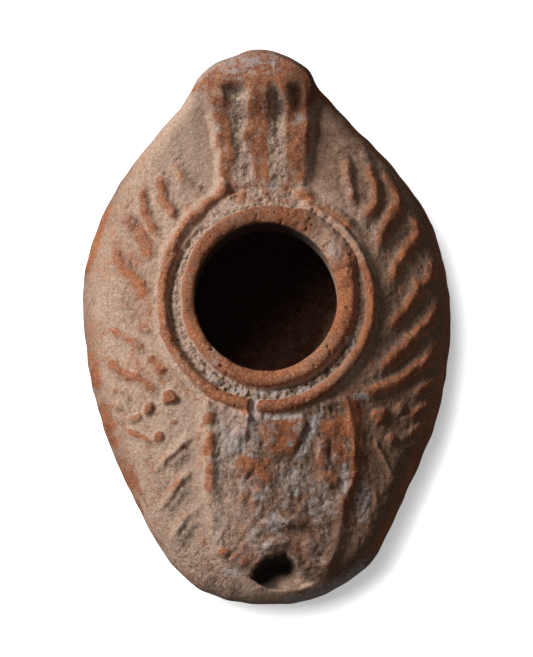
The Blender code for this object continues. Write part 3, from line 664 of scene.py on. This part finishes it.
    def crust(self):
        """Sand, dust and deposits over the whole skin, painted light and shade on the flanks and the lower
        right, and the wear along its edge.
        """
        for (x, y), half_width, half_length, strength in DEPOSITS:
            distance = np.hypot((self.wx - x) / half_width, (self.wy - y) / half_length) + 0.3 * self.knob
            self.lay(white=strength * (1.0 - eased((distance - 0.55) / 0.6)))
        low_left = eased((-self.x - 2.0) / 6.0) * eased((-self.y - 33.0) / 6.0)
        low_left *= eased((14.0 - self.to_edge) / 6.0)
        mid_left = self.spot(*EARTHY_LEFT)
        low_right = eased((self.x - 8.0) / 6.0) * eased((-self.y - 8.0) / 12.0)
        clusters = np.clip(0.65 + 1.1 * self.lump + 0.5 * self.cloud, 0.15, 1.25)
        sand = (0.45 + 0.35 * mid_left + 0.4 * low_right) * clusters + 0.5 * low_left
        self.lay(sand=sand * self.past_ring * (1.0 - self.flank))
        self.sand = unit(self.sand) * (1.0 - 0.8 * unit(self.worn))
        # Painted light and shade on the flanks beside the handle: thick pale dust on the lit left one, thin
        # on the shaded right one
        lit, unlit = np.maximum(self.dust, 0.92 * self.flank), mix(self.dust, 0.32, self.flank)
        self.dust = np.where(self.x < 0.0, lit, unlit)
        # Less pale dust on the lower right, browner earth there with painted shade on the side away from the
        # light, and less on the lower left and the earthy spot
        self.dust = self.dust - 0.12 * low_left - 0.8 * low_right - 0.45 * mid_left
        self.dust -= 0.5 * eased(1.0 - self.to_edge / 5.0) * within(self.x, -40.0, -22.0, 4.0)
        flaked = noise_at(np.stack((self.x, self.y, self.z), axis=-1), FLAKE_GRAIN, 12)
        worn_left = np.zeros_like(self.x)
        for low, high in LEFT_EDGE_WORN:
            worn_left = np.maximum(worn_left, within(self.y + 1.5 * self.lump + 5.0 * flaked, low, high, 3.0))
        left_band = eased(1.35 - self.to_edge / 2.3) * worn_left * (self.x < 0.0)
        right_band = eased(1.2 - self.to_edge / 2.2) * (self.x > 0.0) * within(self.y, -38.0, 42.0, 4.0)
        thin_band = eased(1.0 - self.to_edge / 0.8) * (self.y > 18.0)
        band = np.maximum(np.maximum(left_band, right_band), thin_band * 0.6)
        self.lay(worn=band * unit(0.9 + 0.6 * self.lump + 0.3 * self.knob + 1.2 * flaked))
        rough = 0.7 * self.grit + 0.35 * self.knob
        rough -= 1.3 * unit(-rough - 0.10)
        self.rise += (0.15 + 0.85 * self.sand) * rough * self.sizes.crust_depth / MM
        self.rise += self.past_ring * (0.10 * self.lump + 0.12 * self.cloud)

    def shaped(self):
        """The finished heights, which meet the outline's own edge."""
        return self.z + self.rise * eased(self.to_edge / EDGE_BLEND)

    def states(self):
        """What lies on the skin, with its painted light and shade, each from 0 to 1."""
        return {name: unit(getattr(self, name)) for name in STATES}


def lamp_grid(sizes):
    """Rows of places from the hollow's floor over the mouth to the underside, and the skin's states."""
    angle = even_angles(sizes.columns)
    turns, outer, share = outline_by_angle()
    outer, share = np.interp(angle, turns, outer), np.interp(angle, turns, share)
    spoke = np.stack((np.cos(angle), np.sin(angle), np.zeros_like(angle)), axis=-1)
    outer = outer + OUTLINE_UNEVEN * noise_at(spoke * outer[:, None], OUTLINE_GRAIN, 11)
    ovals = (("mouth", MOUTH), ("rim", RIM), ("groove", GROOVE), ("ring", RING))
    reaches = {name: reach_of(oval, angle) for name, oval in ovals}
    reaches["outer"] = outer
    mouth, ring = reaches["mouth"], reaches["ring"]
    seam = along_body(share, SEAM_HEIGHTS)
    drop = along_body(share, EDGE_DROPS)
    edge_width = along_body(share, EDGE_WIDTHS)
    sag = along_body(share, SHOULDER_SAGS)

    def at(radius, z):
        return np.stack((radius * np.cos(angle), HUB_Y + radius * np.sin(angle), z + 0.0 * radius), axis=-1)

    def skin(radius):
        out = unit((radius - ring) / (outer - ring))
        into_edge = unit(1.0 - (outer - radius) / edge_width)
        z = mix(SHOULDER_HEIGHT, seam + drop, out**sag)
        return z - drop * (1.0 - np.sqrt(unit(1.0 - into_edge**2)))

    upper = []
    for i in range(sizes.ring_rows):
        upper.append(at(mix(mouth, ring, i / sizes.ring_rows), SHOULDER_HEIGHT))
    for i in range(sizes.shoulder_rows + 1):
        turn = i / sizes.shoulder_rows
        radius = mix(ring, outer, mix(turn, math.sin(turn * math.pi / 2), ROW_CROWDING))
        upper.append(at(radius, skin(radius)))
    upper = np.array(upper)
    relief = UpperSkin(upper, reaches, sizes)
    relief.ridges()
    relief.cuts()
    relief.rings()
    relief.panel()
    relief.handle()
    relief.wick_hole()
    relief.crust()
    upper[..., 2] = relief.shaped()

    nozzle_seam, side_seam, _ = SEAM_HEIGHTS
    back = reach_of(HOLLOW_BACK, angle)
    front = (HUB_Y - HOLLOW_FRONT) / np.clip(-np.sin(angle), 0.05, 1.0)
    widest = np.minimum(outer - WALL, np.where(np.sin(angle) > 0, back, front))
    middle = along_body(share, (nozzle_seam, side_seam, side_seam))
    inner = [at(widest * FLOOR_FLAT * 0.2, FLOOR), at(widest * FLOOR_FLAT, FLOOR)]
    for turn in quarter_turns(sizes.inner_rows):
        inner.append(at(widest * math.sin(turn), mix(middle, FLOOR, math.cos(turn))))
    for turn in quarter_turns(sizes.inner_rows):
        radius = mix(mouth, widest, math.cos(turn))
        inner.append(at(radius, mix(middle, skin(radius) - WALL, math.sin(turn))))
    roof, lip = inner[-1], upper[0]
    for i in range(1, sizes.lip_rows):
        inner.append(mix(roof, lip, i / sizes.lip_rows))

    edge = upper[-1]
    reach = 1.0 / np.hypot(spoke[:, 0] / FOOT[2], spoke[:, 1] / FOOT[3])
    foot = np.array([FOOT[0], FOOT[1], FOOT_HEIGHT]) + spoke * reach[:, None]
    fullness = 2.0 / along_body(share, UNDERSIDE_BULGES)
    lower = []
    for turn in quarter_turns(sizes.under_rows):
        place = mix(edge, foot, (1.0 - max(math.cos(turn), 0.0) ** fullness)[:, None])
        place[:, 2] = mix(edge[:, 2], FOOT_HEIGHT, math.sin(turn) ** fullness)
        lower.append(place)
    for inwards, z in FOOT_STEPS:
        lower.append(np.array([FOOT[0], FOOT[1], z]) + spoke * (reach - FOOT_WIDTH * inwards)[:, None])
    return np.array(inner), upper, np.array(lower), relief.states()


def lofted_skin(rows):
    """A closed skin: one loop of edges drawn out row by row, and closed at both ends."""
    bm = bmesh.new()
    row_layer = bm.verts.layers.int.new("row")
    column_layer = bm.verts.layers.int.new("column")
    ring = bmesh.ops.create_circle(bm, segments=rows.shape[1], radius=1.0)["verts"]
    for i, vert in enumerate(ring):
        vert[column_layer] = i
    loop = list({edge for vert in ring for edge in vert.link_edges})
    bmesh.ops.contextual_create(bm, geom=loop)
    for row in range(1, rows.shape[0]):
        drawn = bmesh.ops.extrude_edge_only(bm, edges=loop)["geom"]
        loop = [g for g in drawn if isinstance(g, bmesh.types.BMEdge)]
        for vert in (g for g in drawn if isinstance(g, bmesh.types.BMVert)):
            vert[row_layer] = row
    bmesh.ops.contextual_create(bm, geom=loop)
    for vert in bm.verts:
        vert.co = rows[vert[row_layer], vert[column_layer]] * MM
    for cap in [face for face in bm.faces if len(face.verts) > 4]:
        bmesh.ops.poke(bm, faces=[cap])
    bmesh.ops.recalc_face_normals(bm, faces=bm.faces)
    return bm


def linear_colour(text):
    """Turns an sRGB hex value into linear red, green, blue and alpha."""
    values = [int(text[i:i + 2], 16) / 255 for i in (1, 3, 5)]
    return (*(v / 12.92 if v <= 0.04045 else ((v + 0.055) / 1.055) ** 2.4 for v in values), 1.0)


def add_node(tree, kind, sockets, out=0, **settings):
    """Adds a shader node with its settings, fills or links its sockets, and returns its output."""
    node = tree.nodes.new("ShaderNode" + kind)
    for name, value in settings.items():
        setattr(node, name, value)
    for name, value in sockets.items():
        if isinstance(value, bpy.types.NodeSocket):
            tree.links.new(value, node.inputs[name])
        else:
            node.inputs[name].default_value = value
    return node.outputs[out]


def fired_clay(colours):
    """Unglazed fired clay under sandy dust.

    Matt all over. Worn crests show the orange clay, and the recesses keep pale dust with dark pits between
    its grains.
    """
    material = bpy.data.materials.new("unglazed_fired_clay")
    material.use_nodes = True
    tree = material.node_tree
    shader = tree.nodes["Principled BSDF"]
    place = add_node(tree, "TexCoord", {}, "Object")
    state = {}
    for name in STATES:
        state[name] = add_node(tree, "Attribute", {}, "Fac", attribute_name=name)

    # Clouds of firing colour, mottled dust, and sand grains, drawn coarser than the real 0.1 mm to show
    field = {}
    for name, size, detail in (
        ("cloud", 6.0 * MM, 3.0), ("mottle", 1.6 * MM, 4.0),
        ("speck", 0.75 * MM, 3.0), ("grain", 0.36 * MM, 2.0),
    ):
        field[name] = add_node(
            tree, "TexNoise", {"Vector": place, "Scale": 1.0 / size, "Detail": detail, "Roughness": 0.65}
        )
    grains = add_node(tree, "TexVoronoi", {"Vector": place, "Scale": 1.0 / (0.55 * MM)})

    # Where each layer shows: its state at the point, broken up by the mottle and the specks
    thresholds = [
        ("gaps", grains, 0.50, 0.85, 1.0), ("pits", field["speck"], 0.46, 0.33, 1.0),
        ("firing", field["cloud"], 0.35, 0.65, 1.0), ("bright", field["grain"], 0.5, 0.72, 0.6),
        ("film", field["speck"], 0.42, 0.62, 0.4),
    ]
    for name, mottle, speck, low, high, top in (
        ("worn", 1.4, 1.2, 0.14, 0.78, 1.0), ("white", 0.9, 1.5, 0.15, 0.90, 0.85),
        ("soot", 0.3, 0.3, 0.05, 0.95, 0.97), ("dust", 0.9, 0.7, 0.05, 0.95, 1.0),
    ):
        total = state[name]
        for pattern, amount in (("mottle", mottle), ("speck", speck)):
            centred = add_node(tree, "Math", {0: field[pattern], 1: 0.5}, operation="SUBTRACT")
            total = add_node(tree, "Math", {0: centred, 1: amount, 2: total}, operation="MULTIPLY_ADD")
        thresholds.append((name, total, low, high, top))
    cover = {}
    for name, source, low, high, top in thresholds:
        cover[name] = add_node(
            tree, "MapRange", {"Value": source, "From Min": low, "From Max": high, "To Max": top},
            interpolation_type="SMOOTHSTEP",
        )
    hollows = add_node(tree, "Math", {0: cover["gaps"], 1: cover["pits"]}, operation="MAXIMUM")
    for share in (state["sand"], 0.6):
        hollows = add_node(tree, "Math", {0: hollows, 1: share}, operation="MULTIPLY")
    film = add_node(tree, "Math", {0: cover["film"], 1: state["dust"]}, operation="MULTIPLY")

    clay = linear_colour(colours.clay_deep)
    for cover_of, over in (
        (cover["firing"], colours.clay_worn), (cover["bright"], colours.clay_bright),
        (film, colours.clay_film),
    ):
        over = linear_colour(over)
        clay = add_node(tree, "Mix", {0: cover_of, 6: clay, 7: over}, 2, data_type="RGBA")
    colour = linear_colour(colours.crust_earth)
    for cover_of, over in (
        (cover["dust"], linear_colour(colours.crust_dust)), (hollows, linear_colour(colours.crust_pit)),
        (cover["worn"], clay), (cover["white"], linear_colour(colours.deposit)),
        (cover["soot"], linear_colour(colours.soot)),
    ):
        colour = add_node(tree, "Mix", {0: cover_of, 6: colour, 7: over}, 2, data_type="RGBA")
    shade = add_node(
        tree, "MapRange",
        {"Value": field["grain"], "From Min": 0.3, "From Max": 0.7, "To Min": 0.68, "To Max": 1.28},
    )
    colour = add_node(tree, "Mix", {0: 1.0, 6: colour, 7: shade}, 2, data_type="RGBA", blend_type="MULTIPLY")
    tree.links.new(colour, shader.inputs["Base Color"])
    shader.inputs["Roughness"].default_value = 0.9
    shader.inputs["IOR"].default_value = 1.5

    depth = add_node(tree, "MapRange", {"Value": state["sand"], "To Min": 0.35, "To Max": 1.1})
    height = add_node(tree, "Math", {0: field["speck"], 1: 1.4, 2: field["grain"]}, operation="MULTIPLY_ADD")
    deep_gaps = add_node(tree, "Math", {0: cover["gaps"], 1: 0.4}, operation="MULTIPLY")
    height = add_node(tree, "Math", {0: height, 1: deep_gaps}, operation="SUBTRACT")
    height = add_node(tree, "Math", {0: height, 1: depth}, operation="MULTIPLY")
    grit = add_node(tree, "Bump", {"Distance": 0.14 * MM, "Height": height})
    tree.links.new(grit, shader.inputs["Normal"])
    return material


class LampSizes(bpy.types.PropertyGroup):
    """Sizes of the lamp's relief, and how finely it is divided."""

    rim_rise: FloatProperty(
        name="Rim rise", description="Height of the ring round the hole", default=2.0 * MM, unit="LENGTH"
    )
    ring_rise: FloatProperty(
        name="Ring rise", description="Height of the outer ring", default=1.6 * MM, unit="LENGTH"
    )
    ridge_rise: FloatProperty(
        name="Ridge rise", description="Height of a full ridge", default=1.0 * MM, unit="LENGTH"
    )
    panel_rise: FloatProperty(
        name="Panel rise", description="Height of the nozzle panel", default=0.6 * MM, unit="LENGTH"
    )
    crust_depth: FloatProperty(
        name="Crust depth", description="Depth of the sandy crust", default=0.34 * MM, unit="LENGTH"
    )
    columns: IntProperty(name="Columns", description="Points round the lamp", default=600, min=24)
    ring_rows: IntProperty(name="Ring rows", description="Rows across the two rings", default=32, min=4)
    shoulder_rows: IntProperty(
        name="Shoulder rows", description="Rows across the shoulder", default=88, min=8
    )
    under_rows: IntProperty(name="Under rows", description="Rows across the underside", default=14, min=4)
    inner_rows: IntProperty(
        name="Inner rows", description="Rows of the floor, and of the roof, inside", default=8, min=3
    )
    lip_rows: IntProperty(name="Lip rows", description="Rows down the hole's edge", default=5, min=2)


class LampColours(bpy.types.PropertyGroup):
    """Colours of the clay and of what lies on it, as sRGB hex values."""

    clay_worn: StringProperty(name="Worn clay", description="Clay on worn crests", default="#AE673F")
    clay_deep: StringProperty(name="Deep clay", description="Darker patches of the clay", default="#8F5131")
    clay_bright: StringProperty(name="Bright clay", description="Fresh grains in the clay", default="#C78460")
    clay_film: StringProperty(name="Dust film", description="Thin dust left on the clay", default="#B58C72")
    # Dust and earth: the dust is laid thicker on lit sides and thinner on shaded ones, as painted light and
    # shade
    crust_dust: StringProperty(name="Dust", description="Pale dust of the crust", default="#C3A48E")
    crust_earth: StringProperty(name="Earth", description="Brown earth of the crust", default="#8A6650")
    crust_pit: StringProperty(name="Pits", description="Pits between the grains", default="#4A3426")
    deposit: StringProperty(name="Deposit", description="Whitish lime deposit", default="#BBAFA9")
    # The soot colour also paints the shade in hollows, cuts and on sides away from the light
    soot: StringProperty(name="Soot", description="Burnt clay inside", default="#2A1D16")


class StageSettings(bpy.types.PropertyGroup):
    """Floor, lights and camera."""

    elevation: FloatProperty(
        name="View elevation", description="Angle above the floor", default=math.radians(75), subtype="ANGLE"
    )
    distance: FloatProperty(
        name="View distance", description="From camera to lamp", default=0.6, unit="LENGTH"
    )
    key_power: FloatProperty(name="Key light", description="Power of the window-like key light", default=4.6)
    key_size: FloatProperty(
        name="Key size", description="Width of the key light", default=0.26, unit="LENGTH"
    )
    floor_power: FloatProperty(
        name="Floor light", description="Power of the light on the floor", default=14.0
    )
    fill: FloatProperty(name="Fill", description="Strength of the light from all round", default=0.10)
    floor_glow: FloatProperty(
        name="Floor glow", description="How far the floor is lifted to white", default=0.40
    )
    floor_colour: FloatVectorProperty(
        name="Floor", description="Floor colour", subtype="COLOR", default=(0.8, 0.8, 0.8)
    )


class LAMP_OT_make_body(bpy.types.Operator):
    """Model the lamp's fine clay body and dress it"""

    bl_idname = "lamp.make_body"
    bl_label = "Make lamp body"

    def execute(self, context):
        sizes = context.scene.lamp_sizes
        inner, upper, lower, states = lamp_grid(sizes)
        rows = np.concatenate((inner, upper, lower))
        bm = lofted_skin(rows)
        mesh = bpy.data.meshes.new("lamp")
        bm.to_mesh(mesh)
        bm.free()
        piece = bpy.data.objects.new("lamp", mesh)
        context.scene.collection.objects.link(piece)
        place = []
        for name in ("row", "column"):
            place.append(np.zeros(len(mesh.vertices), dtype=np.int32))
            mesh.attributes[name].data.foreach_get("value", place[-1])
            mesh.attributes.remove(mesh.attributes[name])
        first, last = len(inner), len(inner) + len(upper)
        ragged = 1.6 * noise_at(lower, FLAKE_GRAIN, 12)
        below = unit(0.9 - np.arange(len(lower))[:, None] / FLAKE_ROWS + ragged)
        # Soot inside, darkest at the upper left and least at the lower right as painted shade, since the
        # light falls in from the upper left
        to_low_right = (inner[..., 0] - inner[..., 1] + HUB_Y) / math.sqrt(2.0)
        inside_soot_and_shade = mix(*INSIDE_SOOT_AND_SHADE, eased((to_low_right + 5.0) / 14.0))
        for name, values in states.items():
            full = np.full(rows.shape[:2], INSIDE[name])
            if name == "soot":
                full[:first] = inside_soot_and_shade
            full[first:last] = values
            full[last:] = mix(UNDERSIDE[name], values[-1], below)
            layer = mesh.attributes.new(name, "FLOAT", "POINT")
            layer.data.foreach_set("value", full[tuple(place)].astype(np.float32))
        mesh.shade_smooth()
        mesh.materials.append(fired_clay(context.scene.lamp_colours))
        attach(piece, "root")
        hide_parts("lamp_body")
        return {"FINISHED"}


class LAMP_OT_set_stage(bpy.types.Operator):
    """Lay the pale floor and set the lights and the camera"""

    bl_idname = "lamp.set_stage"
    bl_label = "Set stage"

    def execute(self, context):
        scene = context.scene
        settings = scene.lamp_stage
        bm = bmesh.new()
        bmesh.ops.create_grid(bm, x_segments=1, y_segments=1, size=FLOOR_HALF)
        mesh = bpy.data.meshes.new("floor")
        bm.to_mesh(mesh)
        bm.free()
        floor = bpy.data.objects.new("floor", mesh)
        scene.collection.objects.link(floor)
        floor.visible_diffuse = False
        floor.visible_glossy = False
        # White paper, lifted by a glow of its own as an overexposed backdrop is
        material = bpy.data.materials.new("white_paper")
        material.use_nodes = True
        shader = material.node_tree.nodes["Principled BSDF"]
        shader.inputs["Base Color"].default_value = (*settings.floor_colour, 1.0)
        shader.inputs["Roughness"].default_value = 1.0
        shader.inputs["Emission Color"].default_value = (1.0, 1.0, 1.0, 1.0)
        shader.inputs["Emission Strength"].default_value = settings.floor_glow
        mesh.materials.append(material)

        world = bpy.data.worlds.new("soft_room")
        scene.world = world
        world.use_nodes = True
        background = world.node_tree.nodes["Background"]
        background.inputs["Color"].default_value = (1.0, 1.0, 1.0, 1.0)
        background.inputs["Strength"].default_value = settings.fill

        # The key light is for the lamp, and the light from high up is for the floor
        for name, power, size, place, floor_state in (
            ("key", settings.key_power, settings.key_size, KEY_PLACE, "EXCLUDE"),
            ("floor_light", settings.floor_power, FLOOR_LIGHT_SIZE, FLOOR_LIGHT_PLACE, "INCLUDE"),
        ):
            light = bpy.data.lights.new(name, "AREA")
            light.energy = power
            light.size = size
            lit = bpy.data.objects.new(name, light)
            lit.location = place
            lit.rotation_euler = (Vector(place) - LAMP_MIDDLE).to_track_quat("Z", "Y").to_euler()
            scene.collection.objects.link(lit)
            receivers = bpy.data.collections.new(name + "_receivers")
            receivers.objects.link(floor)
            receivers.collection_objects[0].light_linking.link_state = floor_state
            lit.light_linking.receiver_collection = receivers

        data = bpy.data.cameras.new("camera")
        data.sensor_fit = "VERTICAL"
        data.sensor_height = SENSOR_HEIGHT
        data.lens = SENSOR_HEIGHT * settings.distance / (FRAME_HEIGHT * PIXEL)
        data.shift_y = PIXELS_DOWN / FRAME_HEIGHT
        camera = bpy.data.objects.new("camera", data)
        away = Vector((0.0, -math.cos(settings.elevation), math.sin(settings.elevation)))
        camera.location = LAMP_MIDDLE + away * settings.distance
        camera.rotation_euler = away.to_track_quat("Z", "Y").to_euler()
        scene.collection.objects.link(camera)
        scene.camera = camera
        scene.view_settings.view_transform = "Standard"
        return {"FINISHED"}


class LAMP_PT_panel(bpy.types.Panel):
    """Lists what makes the lamp and its stage"""

    bl_idname = "LAMP_PT_panel"
    bl_label = "Oil Lamp"
    bl_space_type = "VIEW_3D"
    bl_region_type = "UI"
    bl_category = "Oil Lamp"

    def draw(self, context):
        scene = context.scene
        for group in (scene.lamp_sizes, scene.lamp_colours, scene.lamp_stage):
            for name in group.bl_rna.properties.keys():
                if name not in {"rna_type", "name"}:
                    self.layout.prop(group, name)
        self.layout.operator(LAMP_OT_make_body.bl_idname)
        self.layout.operator(LAMP_OT_set_stage.bl_idname)


CLASSES = (LampSizes, LampColours, StageSettings, LAMP_OT_make_body, LAMP_OT_set_stage, LAMP_PT_panel)


def register():
    for cls in CLASSES:
        bpy.utils.register_class(cls)
    bpy.types.Scene.lamp_sizes = PointerProperty(type=LampSizes)
    bpy.types.Scene.lamp_colours = PointerProperty(type=LampColours)
    bpy.types.Scene.lamp_stage = PointerProperty(type=StageSettings)


def unregister():
    del bpy.types.Scene.lamp_stage
    del bpy.types.Scene.lamp_colours
    del bpy.types.Scene.lamp_sizes
    for cls in reversed(CLASSES):
        bpy.utils.unregister_class(cls)


def main():
    register()
    bpy.ops.lamp.set_stage()
    bpy.ops.lamp.make_body()


if __name__ == "__main__":
    main()
